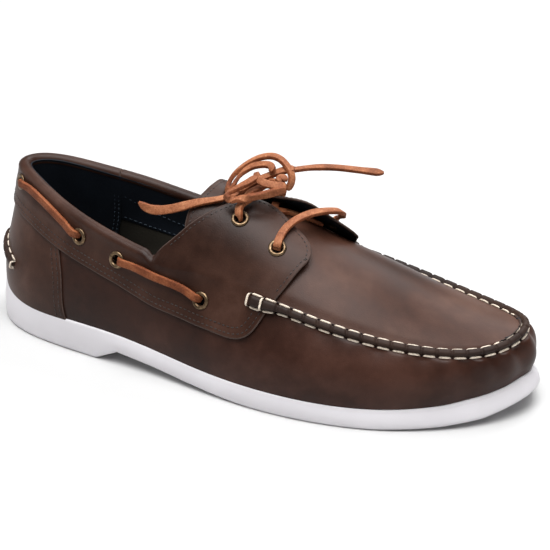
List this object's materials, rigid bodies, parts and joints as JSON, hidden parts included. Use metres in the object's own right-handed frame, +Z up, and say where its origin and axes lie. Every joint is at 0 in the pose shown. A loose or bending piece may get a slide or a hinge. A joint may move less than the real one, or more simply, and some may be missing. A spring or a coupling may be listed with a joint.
{
  "type": "boat shoe",
  "caption": "Men's boat shoe: hand-sewn moccasin toe, leather upper open at the collar, padded roll, tabs over a tongue, rawhide lace tied in a bow, white rubber sole.",
  "frame": {"origin": "middle of the bounding box's base, on the floor under the sole", "axes": "+X from heel to toe, +Y to the inner (medial) side, +Z up"},
  "size_m": [0.2955, 0.1085, 0.1059],
  "materials": {
    "upper_leather": "oiled brown full-grain leather, satin",
    "seam_leather": "dark brown folded leather edge",
    "lining_leather": "navy-black lining leather, matt",
    "sole_rubber": "off-white moulded rubber, matt",
    "rawhide": "tan rawhide lace, undyed edges",
    "antique_brass": "antique brass, dull"
  },
  "bodies": {
    "root": {"outsole": "sole_rubber", "insole": "lining_leather", "upper": "upper_leather", "tongue": "upper_leather", "collar_lateral": "upper_leather", "collar_medial": "upper_leather", "moc_seam": "seam_leather", "heel_seam": "seam_leather", "eyelet_lateral_1": "antique_brass", "eyelet_lateral_2": "antique_brass", "eyelet_lateral_3": "antique_brass", "eyelet_lateral_4": "antique_brass", "eyelet_lateral_5": "antique_brass", "eyelet_lateral_6": "antique_brass", "eyelet_medial_1": "antique_brass", "eyelet_medial_2": "antique_brass", "eyelet_medial_3": "antique_brass", "eyelet_medial_4": "antique_brass", "eyelet_medial_5": "antique_brass", "eyelet_medial_6": "antique_brass", "lace_knot": "rawhide", "lace_loop_near": "rawhide", "lace_loop_far": "rawhide", "lace_end_left": "rawhide", "lace_end_right": "rawhide", "side_lace_lateral_rear": "rawhide", "side_lace_lateral_front": "rawhide", "side_lace_medial_rear": "rawhide", "side_lace_medial_front": "rawhide", "lace_over_tabs": "rawhide", "lace_under_tabs": "rawhide", "lace_rise_lateral": "rawhide", "lace_rise_medial": "rawhide"}
  },
  "joints": []
}
